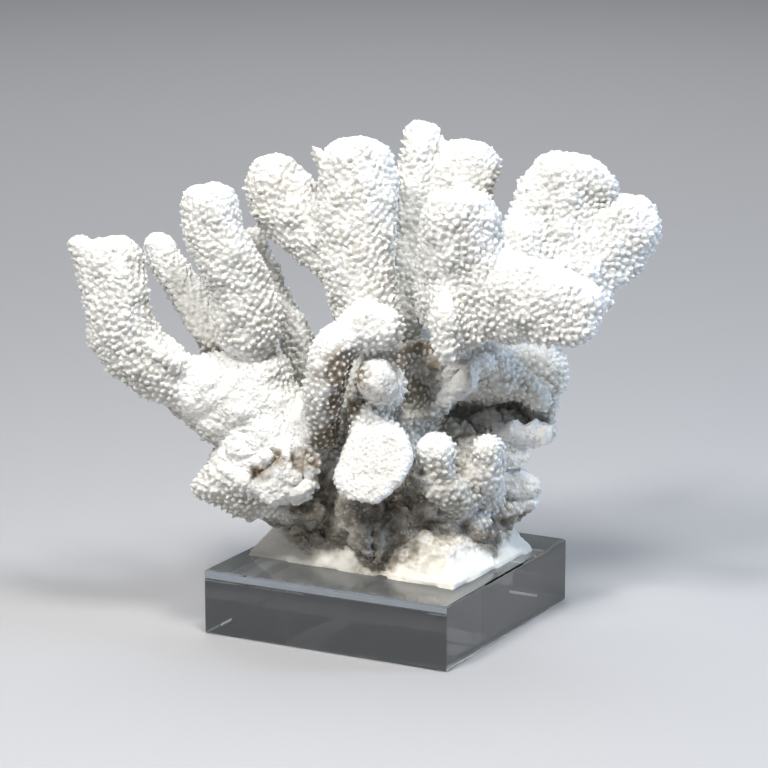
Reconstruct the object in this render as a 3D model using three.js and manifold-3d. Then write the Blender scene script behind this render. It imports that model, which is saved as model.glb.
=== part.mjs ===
// White branching coral set in a plaster plinth on a clear acrylic block.
// Millimetres, +Z up. The origin is the centre of the block's underside. The block's front looks along -Y.
import * as THREE from "three";
import { mergeVertices } from "three/addons/utils/BufferGeometryUtils.js";
import Module from "manifold-3d";

const wasm = await Module();
wasm.setup();

// Driving dimensions
const inch = 25.4;
const blockWidth = 6 * inch;
const blockHeight = 37;
const blockEdge = 0.8; // polished bevel along every edge of the block
const plinthLength = 136;
const plinthDepth = 94;
const plinthHeight = 17;
const plinthInset = 12; // how far the sloping sides run in
const plinthBack = 4; // the plinth sits this far behind the middle of the block
const plinthTurn = THREE.MathUtils.degToRad(-3); // set on the block by hand, a little askew
const seamGap = 0.35; // clearance that touching pieces keep
const coralTurn = THREE.MathUtils.degToRad(27.9); // the coral's broad side, against the block's front face
const meshPitch = 10.6; // side of one square of the skin's grid
const knobHeight = 3.2; // the wart-like knobs that cover the branches
const knobUnevenness = 0.3; // random share of a knob's height
const knobLean = 0.5; // how far a knob leans towards its branch's tip, per unit of height
const fullKnobDepth = 12; // thinner lobes have smaller knobs
const unevenness = 0.04; // random share of a lobe's thickness
const cornerShift = 0.22; // random shift of the grid's corners, as a share of a square's side
const endMargin = 0.7; // how far the first ring stands from a lobe's end, short of one square
const bluntness = 2.8; // shape of a lobe's end: 2 is a round dome, more is squarer

// Every lobe of the coral, in the coral's own frame: x across its broad side, y from front to back, z up.
// width and depth are half the lobe's thickness, from root to tip: along its broad side, and along the way
// that it faces.
const front = [0, -1, 0];
const up = [0, 0, 1];
const branches = {
  trunk: [
    // the column, the base along the plinth, and a swelling at each side
    {
      spine: [[0, 6, 48], [-2, 6, 72], [-2, 8, 100], [2, 8, 130], [4, 6, 158]],
      width: [46, 42, 34, 32, 26],
      depth: [32, 32, 26, 24, 22],
    },
    { spine: [[-52, 22, 62], [0, -2, 58], [54, -18, 60]], width: [14, 20, 14], depth: [26, 34, 26] },
    { spine: [[-42, -2, 56], [-42, -6, 78], [-28, -4, 106]], width: [25, 25, 22], depth: [22, 22, 20] },
    { spine: [[42, 4, 52], [42, 0, 70], [34, 4, 96]], width: [28, 26, 22], depth: [24, 26, 22] },
    // a foot that runs down the plinth's slope, and a worn, smooth ball
    { spine: [[-8, -30, 68], [-8, -50, 42]], width: [14, 8], depth: [12, 8], face: up },
    { spine: [[-1, -14, 138], [-6, -50, 148]], width: [13, 13], depth: [14, 13], face: up, knobs: 0.2 },
    // nubs at the front
    { spine: [[24, -22, 70], [25, -34, 98], [27, -42, 117]], width: [13, 13, 11], depth: [14, 13, 10] },
    { spine: [[55, -14, 70], [56, -28, 99], [56, -34, 114]], width: [11, 9, 8], depth: [14, 11, 10] },
    { spine: [[-43, -20, 108], [-56, -42, 95]], width: [11, 10], depth: [12, 9], face: up },
    { spine: [[-44, -22, 76], [-68, -44, 89]], width: [12, 10], depth: [12, 8], face: up },
    // nubs at the right
    { spine: [[51, -6, 97], [79, 2, 97]], width: [6, 4], depth: [9, 7] },
    { spine: [[47, 0, 77], [82, 6, 75]], width: [8, 6], depth: [11, 8] },
    { spine: [[40, -8, 70], [70, -3, 66]], width: [12, 8], depth: [14, 10] },
  ],
  left_arm: [
    {
      spine: [[-40, -4, 105], [-71, -12, 120], [-97, -17, 134], [-120, -21, 147]],
      width: [24, 25, 23, 16],
      depth: [26, 24, 20, 16],
    },
    { spine: [[-56, -14, 104], [-86, -22, 95]], width: [13, 8], depth: [14, 9] },
    // the palm that the fingers rise from
    {
      spine: [[-66, -12, 112], [-74, -14, 139], [-76, -15, 160]],
      width: [22, 22, 20],
      depth: [20, 18, 15],
    },
  ],
  outer_finger: [
    {
      spine: [
        [-108, -20, 138],
        [-134, -23, 156],
        [-148, -25, 172],
        [-150, -25, 190],
        [-153, -23, 206],
        [-157, -20, 225],
      ],
      width: [14, 17, 18, 17, 18, 20],
      depth: [15, 15, 14, 13, 12, 11],
    },
    // a small horn at the tip
    { spine: [[-161, -20, 204], [-174, -20, 225]], width: [8, 6], depth: [8, 7] },
  ],
  tall_finger: [
    {
      spine: [
        [-75, -16, 159],
        [-77, -20, 179],
        [-81, -23, 197],
        [-89, -25, 214],
        [-97, -25, 231],
        [-99, -24, 256],
      ],
      width: [21, 20, 16, 15, 16, 16],
      depth: [16, 15, 14, 14, 13, 13],
    },
  ],
  slim_finger: [
    {
      spine: [[-92, 4, 154], [-111, 12, 183], [-123, 18, 200], [-134, 20, 219]],
      width: [12, 11, 10, 9],
      depth: [11, 11, 10, 9],
    },
  ],
  rear_blade: [
    {
      spine: [[-44, 6, 136], [-54, 13, 166], [-64, 18, 184], [-72, 23, 202], [-79, 27, 222]],
      width: [12, 10, 8, 8, 8],
      depth: [12, 11, 10, 9, 8],
    },
  ],
  crown_left: [
    {
      spine: [[-11, -4, 184], [-29, 2, 209], [-48, 7, 229], [-61, 10, 245], [-63, 12, 265]],
      width: [13, 14, 18, 21, 18],
      depth: [14, 14, 13, 12, 11],
    },
  ],
  crown_centre: [
    {
      spine: [[-6, -16, 164], [-14, -14, 194], [-17, -12, 222], [-17, -9, 249], [-18, -6, 278]],
      width: [16, 19, 21, 21, 22],
      depth: [20, 18, 16, 14, 12],
    },
  ],
  crown_rear: [
    {
      spine: [[9, 12, 160], [12, 26, 217], [16, 37, 247], [21, 44, 281]],
      width: [13, 10, 11, 13],
      depth: [14, 12, 11, 9],
    },
    {
      spine: [[18, 8, 180], [35, 26, 217], [43, 34, 244], [46, 40, 270]],
      width: [16, 17, 18, 18],
      depth: [14, 13, 12, 11],
    },
  ],
  front_fan: [
    {
      spine: [[28, -14, 173], [39, -28, 202], [40, -36, 227], [40, -40, 254]],
      width: [19, 21, 23, 22],
      depth: [18, 16, 13, 10],
    },
    {
      spine: [[23, -16, 183], [56, -34, 194], [83, -48, 194], [116, -54, 185]],
      width: [20, 27, 23, 17],
      depth: [17, 15, 13, 12],
    },
    // nubs that hang under the fan
    { spine: [[32, -36, 198], [32, -50, 180], [31, -50, 160]], width: [8, 9, 8], depth: [11, 10, 8] },
    { spine: [[45, -36, 190], [46, -44, 166]], width: [9, 6], depth: [9, 7] },
  ],
  right_lobe: [
    {
      spine: [[29, 4, 164], [70, 12, 194], [96, 20, 223], [105, 25, 263]],
      width: [17, 23, 28, 27],
      depth: [16, 15, 13, 10],
    },
    {
      spine: [[85, 4, 184], [116, 13, 203], [135, 17, 222], [144, 19, 237]],
      width: [16, 19, 20, 18],
      depth: [13, 13, 11, 9],
    },
    // a knob below the lobe
    { spine: [[96, 6, 201], [125, 8, 179]], width: [11, 8], depth: [11, 9] },
  ],
  under_lobe: [
    {
      spine: [[4, 2, 143], [35, 6, 143], [70, 10, 142], [102, 14, 139]],
      width: [17, 17, 16, 15],
      depth: [18, 19, 18, 15],
    },
    { spine: [[89, 12, 141], [90, 12, 122], [84, 4, 103]], width: [11, 7, 6], depth: [14, 12, 10] },
    { spine: [[88, 4, 106], [75, 2, 104], [38, 4, 103]], width: [6, 6, 8], depth: [12, 13, 12] },
    { spine: [[30, 24, 112], [64, 28, 115], [92, 24, 115]], width: [18, 19, 16], depth: [9, 9, 8] },
  ],
  front_ridge: [
    {
      spine: [[-39, -28, 108], [-37, -42, 135], [-33, -50, 158], [-26, -48, 178]],
      width: [11, 10, 10, 11],
      depth: [13, 14, 14, 13],
    },
    {
      spine: [[-29, -40, 168], [-12, -46, 179], [8, -40, 176]],
      width: [11, 14, 12],
      depth: [13, 14, 12],
    },
  ],
  front_tongue: [
    {
      spine: [[-13, -36, 136], [-9, -54, 121], [-9, -66, 105], [-12, -70, 87]],
      width: [10, 18, 21, 11],
      depth: [10, 10, 9, 8],
    },
  ],
  low_finger: [
    {
      spine: [[-44, -10, 70], [-71, -22, 76], [-90, -29, 82], [-110, -34, 85]],
      width: [19, 15, 10, 5],
      depth: [18, 15, 11, 6],
    },
  ],
  back_lobe: [
    {
      spine: [[2, 24, 114], [2, 42, 140], [-3, 60, 176], [-12, 66, 212]],
      width: [26, 28, 23, 23],
      depth: [20, 18, 14, 12],
    },
  ],
  back_right_lobe: [
    {
      spine: [[38, 28, 116], [54, 42, 138], [72, 56, 162], [84, 60, 190]],
      width: [22, 26, 26, 22],
      depth: [18, 16, 14, 11],
    },
  ],
  back_left_lobe: [
    { spine: [[-34, 22, 90], [-52, 36, 106], [-70, 46, 128]], width: [22, 22, 18], depth: [18, 16, 12] },
  ],
};

const mean = (values) => values.reduce((sum, v) => sum + v, 0) / values.length;

// A repeatable random number from -1 to 1.
function chance(n) {
  const s = Math.sin(n * 12.9898 + 4.1414) * 43758.5453;
  return 2 * (s - Math.floor(s)) - 1;
}

// The value at share t of a list of evenly spaced values.
function along(values, t) {
  const place = t * (values.length - 1);
  const i = Math.min(Math.floor(place), values.length - 2);
  return THREE.MathUtils.lerp(values[i], values[i + 1], place - i);
}

// The share of its full thickness that a lobe has at a distance from its end.
function rounding(distance, thickness) {
  const inside = Math.min(distance / thickness, 1);
  return (1 - (1 - inside) ** bluntness) ** (1 / bluntness);
}

// Triangles of a sphere's grid. Each square is parted along the diagonal that joins its two low corners, so
// that every second corner can stand up as a four-sided knob.
function knobIndex(around, rings) {
  const index = [];
  const at = (i, j) => j * (around + 1) + i;
  for (let j = 0; j < rings; j++) {
    for (let i = 0; i < around; i++) {
      const [a, b, c, d] = [at(i + 1, j), at(i, j), at(i, j + 1), at(i + 1, j + 1)];
      if (j === 0) index.push(b, c, d);
      else if (j === rings - 1) index.push(a, b, c);
      else if ((i + j) % 2 === 0) index.push(a, b, c, a, c, d);
      else index.push(a, b, d, b, c, d);
    }
  }
  return index;
}

// A lobe is a sphere drawn out along a curved spine, oval across, with a knob on every second corner of its
// grid. Its corners are shifted a little, so the knobs don't stand in rows. swell grows it on every side.
function lobe({ spine, width, depth, face = front, knobs = 1 }, seed, swell) {
  const points = spine.map((point) => new THREE.Vector3(...point));
  const curve = new THREE.CatmullRomCurve3(points, false, "centripetal");
  const length = curve.getLength();
  const around = 2 * Math.max(3, Math.round((Math.PI * (mean(width) + mean(depth))) / meshPitch / 2));
  const rings = Math.max(4, Math.round(length / meshPitch) + 2);
  const skin = new THREE.SphereGeometry(1, around, rings);
  const facing = new THREE.Vector3(...face);
  const knobScale = knobs * knobHeight * Math.min(1, mean(depth) / fullKnobDepth);
  for (let j = 0; j <= rings; j++) {
    for (let i = 0; i <= around; i++) {
      const column = i % around;
      const n = (seed * 100 + j) * 100 + column;
      const isPole = j === 0 || j === rings;
      const shift = isPole ? 0 : cornerShift * chance(n + 0.25);
      const t = THREE.MathUtils.clamp((rings - j - endMargin + shift) / (rings - 2 * endMargin), 0, 1);
      const turn = ((column + cornerShift * chance(n + 0.75)) / around) * 2 * Math.PI;
      const tangent = curve.getTangentAt(t);
      const side = new THREE.Vector3().crossVectors(tangent, facing).normalize();
      const outward = new THREE.Vector3().crossVectors(side, tangent);
      const place = curve.getPointAt(t);
      if (isPole) {
        place.addScaledVector(tangent, j === 0 ? swell : -swell);
      } else {
        const [x, z] = [-Math.cos(turn), Math.sin(turn)];
        const [w, d] = [along(width, t), along(depth, t)];
        const toEnd = Math.min(t, 1 - t) * length;
        const uneven = 1 + unevenness * chance(n);
        place.addScaledVector(side, x * (w * rounding(toEnd, w) * uneven + swell));
        place.addScaledVector(outward, z * (d * rounding(toEnd, d) * uneven + swell));
        if ((i + j) % 2 === 0) {
          const away = new THREE.Vector3().addScaledVector(side, x / w).addScaledVector(outward, z / d);
          away.normalize();
          const height = knobScale * (1 + knobUnevenness * chance(n + 0.5));
          place.addScaledVector(away, height).addScaledVector(tangent, height * knobLean);
        }
      }
      skin.attributes.position.setXYZ(j * (around + 1) + i, place.x, place.y, place.z);
    }
  }
  skin.setIndex(knobIndex(around, rings));
  return skin;
}

// A closed geometry as a solid that can be joined and cut.
function solidOf(geometry) {
  const bare = geometry.clone();
  bare.deleteAttribute("normal");
  bare.deleteAttribute("uv");
  const merged = mergeVertices(bare, 1e-3);
  return new wasm.Manifold(
    new wasm.Mesh({
      numProp: 3,
      vertProperties: merged.attributes.position.array,
      triVerts: new Uint32Array(merged.index.array),
    }),
  );
}

// The largest single body of a solid, which drops the chips that a cut leaves loose.
function largest(solid) {
  return solid.decompose().reduce((best, body) => (body.volume() > best.volume() ? body : best));
}

function geometryOf(solid) {
  const mesh = solid.getMesh();
  const geometry = new THREE.BufferGeometry();
  geometry.setAttribute("position", new THREE.BufferAttribute(new Float32Array(mesh.vertProperties), 3));
  geometry.setIndex(new THREE.BufferAttribute(new Uint32Array(mesh.triVerts), 1));
  geometry.computeVertexNormals();
  return geometry;
}

function named(name, geometry, material) {
  const mesh = new THREE.Mesh(geometry, new THREE.MeshStandardMaterial(material));
  mesh.name = name;
  return mesh;
}

// The clear block, bevelled along every edge. swell grows it on every side.
function blockGeometry(swell) {
  const half = blockWidth / 2 - blockEdge + swell;
  const outline = new THREE.Shape();
  outline.moveTo(-half, -half).lineTo(half, -half).lineTo(half, half).lineTo(-half, half).closePath();
  const block = new THREE.ExtrudeGeometry(outline, {
    depth: blockHeight - 2 * blockEdge + 2 * swell,
    bevelEnabled: true,
    bevelSegments: 1,
    bevelSize: blockEdge,
    bevelThickness: blockEdge,
  });
  return block.translate(0, 0, blockEdge - swell - blockHeight / 2);
}

// The plaster plinth: a low block with four sloping sides. swell grows it on every side.
function plinthGeometry(swell) {
  const [length, depth, height] = [plinthLength, plinthDepth, plinthHeight].map((size) => size + 2 * swell);
  const plinth = new THREE.BoxGeometry(length, depth, height);
  const corners = plinth.attributes.position;
  for (let i = 0; i < corners.count; i++) {
    if (corners.getZ(i) > 0) {
      corners.setX(i, corners.getX(i) - Math.sign(corners.getX(i)) * plinthInset);
      corners.setY(i, corners.getY(i) - Math.sign(corners.getY(i)) * plinthInset);
    }
  }
  return plinth;
}

// One branch of the coral: its lobes joined in one solid.
function branchSolid(name, swell) {
  const seed = Object.keys(branches).indexOf(name) + 1;
  return branches[name]
    .map((shape, i) => solidOf(lobe(shape, seed * 10 + i, swell)))
    .reduce((whole, next) => whole.add(next));
}

const clearAcrylic = { color: 0xdfe6e2, roughness: 0.05, metalness: 0, transparent: true, opacity: 0.35 };
const plasterWhite = { color: 0xf3f1ea, roughness: 0.8, metalness: 0 };
const coralWhite = { color: 0xf0eee6, roughness: 0.9, metalness: 0 };

const block = named("block", blockGeometry(0), clearAcrylic);
block.position.z = blockHeight / 2;

const plinth = named("plinth", plinthGeometry(0), plasterWhite);
plinth.position.set(0, plinthBack, blockHeight + seamGap + plinthHeight / 2);
plinth.rotation.z = plinthTurn;

// The coral stands in the plinth and is parted at its main forks. Each branch is placed at its root, and is
// cut back by the stand and by the branches before it.
const coral = new THREE.Group();
coral.rotation.z = coralTurn;

function standSolid(mesh, geometry) {
  mesh.updateMatrix();
  coral.updateMatrix();
  return solidOf(geometry.applyMatrix4(mesh.matrix).applyMatrix4(coral.matrix.clone().invert()));
}

let taken = standSolid(block, blockGeometry(seamGap)).add(standSolid(plinth, plinthGeometry(seamGap)));
for (const name of Object.keys(branches)) {
  const root = new THREE.Vector3(...branches[name][0].spine[0]);
  const solid = largest(branchSolid(name, 0).subtract(taken));
  const branch = named(name, geometryOf(solid).translate(-root.x, -root.y, -root.z), coralWhite);
  branch.position.copy(root);
  coral.add(branch);
  taken = taken.add(branchSolid(name, seamGap));
}

const part = new THREE.Group();
part.add(block, plinth, coral);

export default part;
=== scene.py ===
"""White branching coral, set in a plaster plinth on a clear acrylic block."""

import math

import bpy
import numpy as np
import openvdb
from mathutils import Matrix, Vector, kdtree


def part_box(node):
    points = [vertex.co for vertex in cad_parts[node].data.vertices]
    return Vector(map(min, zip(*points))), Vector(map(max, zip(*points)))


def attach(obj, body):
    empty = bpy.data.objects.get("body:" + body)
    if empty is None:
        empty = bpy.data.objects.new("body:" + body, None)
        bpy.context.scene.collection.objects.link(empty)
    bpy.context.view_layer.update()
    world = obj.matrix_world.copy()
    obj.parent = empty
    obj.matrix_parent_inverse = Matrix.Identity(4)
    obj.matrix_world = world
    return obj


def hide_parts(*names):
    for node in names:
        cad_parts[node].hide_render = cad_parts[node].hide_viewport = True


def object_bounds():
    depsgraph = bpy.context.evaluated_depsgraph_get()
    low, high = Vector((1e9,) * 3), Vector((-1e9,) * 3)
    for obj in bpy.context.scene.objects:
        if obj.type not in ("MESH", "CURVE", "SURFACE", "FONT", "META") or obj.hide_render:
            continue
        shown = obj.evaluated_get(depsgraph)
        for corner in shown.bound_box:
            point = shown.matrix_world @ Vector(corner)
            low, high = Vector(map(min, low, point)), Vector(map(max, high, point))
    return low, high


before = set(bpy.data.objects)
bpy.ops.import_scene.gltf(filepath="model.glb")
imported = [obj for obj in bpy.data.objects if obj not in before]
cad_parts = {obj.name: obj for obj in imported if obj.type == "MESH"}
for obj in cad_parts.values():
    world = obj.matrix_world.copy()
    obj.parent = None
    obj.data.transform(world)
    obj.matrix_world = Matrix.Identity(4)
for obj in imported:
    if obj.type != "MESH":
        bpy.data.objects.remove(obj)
cad_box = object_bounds()

# Sizes in metres
VOXEL = 0.0017  # grid of the coral's skin, before its quads are parted in four
BAND = 9  # voxels on each side of a surface in which distances are known
SEAM = 0.0014  # gaps narrower than this between the coral's solids are closed
SMOOTHING = 0.0024  # blur that turns the faceted solids into grown forms
SHRINKAGE = 0.0007  # taken off all over, to leave room for the knobs
PLASTER_FILLET = 0.004  # plaster drawn up round the coral's foot
KNOB_SPACING = 0.0041
KNOB_HEIGHT = 0.0030
KNOB_WIDTH = 0.96  # of the spacing
KNOB_SHARPNESS = 1.25  # below 1 a knob is a dome, above 1 it is a spike
KNOB_LEAN = 0.5  # share of a knob's direction that points away from the root
KNOB_PACKING = 0.82  # least distance between two knobs, as a share of their spacing
SWELLING = 0.45  # share of the knobs' height to which worn places are filled
LUMP_SIZE = 0.011
LUMP_HEIGHT = 0.0013
TIPS = 0.150  # above this height the tips of the branches are worn smooth
ROCK_TOP = 0.066  # below this height the skin is bare rock
ROCK_RELIEF = 0.0034
CRUMBLE_RELIEF = 0.0022
CHALK_RELIEF = 0.0011
STAIN_RELIEF = 0.0022
GRAIN = 0.00018
CRISP = 0.002  # how softly ridges and hollows run into the skin
SOFT = 0.006  # the same for masses and mounds
PLATE_BLEND = 0.0015
SMALLEST_SHELL = 1000  # points
SMALLEST_PATCH = 400  # quads
SUNK = 0.0008  # the plinth is cast onto the block, so its underside is seen through the acrylic
OPENNESS_REACH = 0.010  # blur that tells hollows from tips
FREE_GAIN = 0.45  # least distance that a free move gains, as a share of its length
TOUCH = 0.0001  # by which a free move may miss that, in metres

# Shares by which single knobs differ, from the smallest to the largest
SPACING_SHARES = (0.72, 1.08)
LEAN_SHARES = (0.3, 1.7)
HEIGHT_SHARES = (0.6, 1.25)
WIDTH_SHARES = (0.85, 1.15)

STAND = ("block", "plinth")
CORAL = [name for name in sorted(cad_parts) if name not in STAND]
CORAL_TURN = math.radians(27.9)  # of the coral's own across and away, about the vertical
SEED = 11


def spot(across, away, up):
    """A point given in the coral's own frame, in millimetres."""
    cosine, sine = math.cos(CORAL_TURN), math.sin(CORAL_TURN)
    return np.array([across * cosine - away * sine, across * sine + away * cosine, up]) / 1000


def coral_frame(points):
    """Points in the coral's own frame, in millimetres: across, away and up."""
    cosine, sine = math.cos(CORAL_TURN), math.sin(CORAL_TURN)
    x, y, z = np.moveaxis(points, -1, 0) * 1000
    return x * cosine + y * sine, y * cosine - x * sine, z


ROOT = spot(0, 10, 90)
PAINTED_LIGHT_FROM = spot(-200, -700, 680)  # the point from which painted light falls on the coral's tops

# Small forms that are modelled on the skin: each a spine and its radii, in millimetres, in the
# coral's frame
RIDGES = [
    # a spike at the corner of the middle crown lobe
    ([(-33, -8, 262), (-41, -8, 272)], (4, 1.2)),
    # corners of the right lobe
    ([(96, 23, 252), (110, 21, 251), (119, 20, 245)], (12, 11, 9)),
    ([(122, 20, 224), (134, 21, 229), (141, 22, 230)], (12, 11, 9)),
    # the broken shell below the left arm
    ([(-79, -38, 97), (-73, -42, 101), (-67, -43, 106)], (2.5, 3.2, 3)),
    ([(-65, -45, 94), (-60, -45, 99), (-56, -43, 106)], (2.0, 2.6, 2.6)),
    ([(-43, -40, 110), (-41, -43, 103), (-43, -44, 95)], (2.5, 3.2, 2.4)),
    # a ribbed fragment of it
    ([(-56, -44, 86), (-48, -45, 88), (-41, -43, 90)], (3, 4, 2.5)),
    ([(-51, -42, 80), (-44, -43, 83)], (2.5, 2.5)),
    # a chipped ledge in the bend of the outer finger
    ([(-134, -33, 168), (-126, -37, 162), (-116, -37, 155)], (2.2, 3, 2.2)),
    # the lip below the cave at the right
    ([(62, -10, 113), (74, -10, 110), (88, -6, 110)], (2.5, 5, 5.5)),
    # the faceted ridge above it
    ([(24, -16, 124), (34, -18, 134), (43, -17, 143), (54, -12, 152)], (3, 4.5, 5.5, 4.5)),
    # the smooth ball beside the front ridge
    ([(-7, -50, 152), (-5, -50, 149)], (9.5, 9.5)),
    # the short finger at the right, and the spike above it
    ([(58, -6, 82), (72, -8, 81), (82, -9, 79)], (8, 6.5, 4.5)),
    ([(66, -9, 95), (77, -9, 97)], (4, 2.5)),
    # the back of the deep recess
    ([(29, -3, 151), (26, -2, 142)], (5, 5)),
    # the floor of the hollow in the rock at the left
    ([(-50, -33, 73), (-43, -33, 70)], (7, 7)),
    # pebbles in the cave
    ([(42, 2, 110), (46, -2, 111)], (3.5, 2.5)),
    ([(33, 4, 112), (38, -2, 110)], (4.5, 3)),
    ([(52, 8, 113), (58, 6, 115)], (4, 5)),
    ([(66, 10, 114), (74, 10, 112)], (5, 3.5)),
    # the rock's foot on the front of the plinth
    ([(-14, -32, 70), (-11, -42, 60), (-9, -49, 50)], (16, 10, 2)),
    ([(-22, -26, 62), (-30, -24, 54)], (10, 5)),
    ([(2, -34, 62), (14, -38, 54)], (12, 6)),
    ([(-46, -8, 60), (-40, -18, 52)], (7, 4)),
    ([(-16, -36, 86), (-15, -42, 74)], (9, 6)),
    # the rock at the right above the plinth
    ([(60, -8, 62), (72, -6, 66), (78, -6, 70)], (10, 8, 6)),
    ([(50, -26, 60), (58, -20, 52)], (9, 5)),
]
# The same for larger masses, which run into what they grow from
MASSES = [
    # the low finger's root
    ([(-101, -30, 87), (-92, -31, 91), (-80, -34, 91)], (3, 9.5, 11)),
    ([(-91, -27, 103), (-82, -30, 107)], (6, 8)),
    # between the left arm and the low finger
    ([(-80, -20, 116), (-78, -28, 104), (-70, -34, 94)], (9, 9, 9)),
    ([(-68, -30, 112), (-60, -34, 106)], (9, 8)),
    # the web between the two nubs, and the clumps below the first
    ([(33, -34, 84), (50, -28, 88)], (9, 10)),
    ([(24, -42, 90), (30, -44, 84)], (5, 6)),
    ([(36, -42, 84), (42, -36, 76)], (5, 6)),
    # what holds the front tongue from behind
    ([(-12, -20, 122), (-10, -42, 114), (-9, -54, 104)], (12, 9, 5)),
    # the crevice beside the deep recess
    ([(28, -4, 124), (27, -5, 134), (23, -5, 142)], (6, 6, 5)),
    # the lumps of the wall at the right
    ([(62, -6, 150), (66, -8, 140)], (6, 6)),
    ([(78, -4, 136), (86, -4, 128)], (6, 5)),
]
HOLLOWS = [
    # inside the broken shell
    ([(-75, -46, 93), (-67, -46, 98), (-60, -46, 105)], (3.2, 4.0, 3.0)),
    ([(-49, -47, 99), (-46, -46, 106)], (4.4, 3.8)),
    # the recess beside the front ridge, and the deep one behind it
    ([(-19, -62, 170), (-18, -60, 150), (-21, -54, 132), (-24, -48, 118)], (4, 6, 6, 4)),
    ([(16, -16, 162), (20, -11, 146), (14, -12, 130)], (10, 12, 9)),
    # beside the faceted ridge
    ([(22, -14, 134), (30, -15, 146), (37, -15, 156)], (6, 6.5, 5)),
    # the cave at the right
    ([(37, -6, 116), (50, -4, 117), (68, -1, 119), (86, 0, 117)], (8, 10, 9, 6)),
    # the rock below the shell and below the tongue
    ([(-44, -40, 78), (-36, -36, 66)], (9, 9)),
    ([(4, -52, 78), (18, -50, 72)], (12, 9)),
    # the notches in the right edge
    ([(104, -4, 118), (104, -4, 100)], (8, 10)),
    ([(92, -8, 99), (84, -9, 99), (76, -12, 99)], (5, 4, 3)),
    ([(94, -8, 88.5), (74, -10, 89.5)], (4.5, 4)),
    ([(94, -8, 66), (84, -12, 67)], (8, 6)),
]
# Plates: outline, face (depth, at this height, slope), thickness and rounding
PLATES = [
    # the front tongue
    (
        [(-21, 137), (-16, 135), (-9, 132), (-2, 128), (5, 124), (10, 118), (12, 112), (12, 106)]
        + [(9, 100), (4, 95), (-1, 90), (-8, 87), (-14, 88), (-21, 89), (-26, 92), (-29, 98)]
        + [(-27, 105), (-24, 111), (-21, 118), (-20, 126)],
        (-72, 90, 0.587),
        10,
        3.5,
    ),
    # the jagged plate of the broken shell
    (
        [(-74, 93), (-70, 95), (-62, 99), (-58, 104), (-54, 103), (-52, 98), (-49, 94)]
        + [(-53, 90), (-55, 87), (-60, 83), (-66, 80), (-71, 84), (-74, 88)],
        (-49, 90, 0.2),
        6,
        1.5,
    ),
]
MOUNDS = [
    # plaster drawn up over the rock
    ([(10, -42, 50), (22, -40, 55), (38, -34, 54)], (4, 6, 4)),
    ([(50, -26, 50), (60, -12, 52)], (5, 5)),
]

# Worn places: where, how far round, and what share is left of the knobs' height and spacing
WORN = [
    (spot(-4, -50, 148), 0.014, 0.0, 1.0),  # the smooth ball
    (spot(-90, -34, 140), 0.030, 0.3, 0.9),  # the top of the left arm
    (spot(-62, -40, 124), 0.026, 0.35, 0.9),
    (spot(-62, -46, 98), 0.024, 0.25, 0.8),  # the broken shell
    (spot(-78, -32, 106), 0.022, 0.35, 0.8),
    (spot(-8, -62, 108), 0.028, 0.3, 0.62),  # the front tongue
    (spot(24, -44, 118), 0.014, 0.12, 1.0),  # the top of the nub beside it
    (spot(56, -34, 116), 0.014, 0.75, 0.66),
    (spot(-130, 10, 218), 0.018, 0.5, 0.85),  # the slim finger's tip
    (spot(90, 6, 72), 0.030, 0.3, 0.8),
    (spot(38, -14, 142), 0.018, 0.2, 0.8),  # the faceted ridge at the right
    (spot(76, -8, 110), 0.018, 0.25, 0.7),  # the lip of the cave
    (spot(20, -10, 146), 0.014, 0.15, 0.8),  # the deep recess
    (spot(72, -8, 90), 0.016, 0.3, 0.8),
]
# Bare rock: where, how far round, and how bare
BARE = [
    (spot(-2, -40, 76), 0.034, 1.0),
    (spot(-40, -28, 74), 0.024, 1.0),
    (spot(52, 6, 112), 0.022, 0.3),
    (spot(76, 8, 114), 0.018, 0.3),
    (spot(38, -14, 142), 0.020, 0.3),
    (spot(28, -42, 84), 0.018, 0.4),  # below the nubs: bare rock, whose dark colour here is painted shade
    (spot(46, -36, 82), 0.020, 0.4),
]
# Crumbled places: where, how far round, and how rough
CRUMBLED = [
    (spot(38, -14, 142), 0.024, 1.0),
    (spot(66, -8, 140), 0.026, 0.4),
    (spot(76, -8, 108), 0.022, 1.0),  # the lip of the cave
    (spot(56, 4, 114), 0.026, 0.8),  # the cave
    (spot(-64, -44, 97), 0.026, 0.7),  # the broken shell
    (spot(-84, -32, 106), 0.026, 1.0),
    (spot(80, 0, 76), 0.030, 0.6),
    (spot(22, -42, 88), 0.016, 0.6),  # below the nubs
    (spot(44, -34, 78), 0.020, 0.5),
]
# Dirt that has stayed, and painted shade in the recesses, below the tongue and the nubs and on the ball:
# where, how far round, and how much
DIRT_AND_PAINTED_SHADE = [
    (spot(-24, -58, 158), 0.016, 0.9),  # between the front ridge and the ball
    (spot(-25, -52, 138), 0.014, 0.9),
    (spot(-30, -44, 118), 0.016, 0.8),
    (spot(16, -8, 152), 0.018, 0.85),  # the deep recess: dirt and painted shade
    (spot(16, -10, 134), 0.014, 0.7),
    (spot(-69, -44, 97), 0.008, 1.0),  # in the broken shell
    (spot(-62, -42, 103), 0.008, 1.0),
    (spot(-48, -44, 103), 0.009, 1.0),
    (spot(10, -46, 74), 0.020, 0.8),  # below the tongue: painted shade where its shadow falls
    (spot(-6, -50, 60), 0.014, 0.6),
    # below the nubs: painted shade
    (spot(42, -34, 82), 0.020, 0.3),
    (spot(28, -42, 86), 0.016, 0.3),
    (spot(0, -54, 146), 0.015, 0.35),  # the ball: painted shade that greys it
    (spot(24, -44, 52), 0.020, 0.6),  # plaster over the rock
    (spot(-8, -66, 108), 0.028, 0.12),  # the front tongue
]


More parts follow.
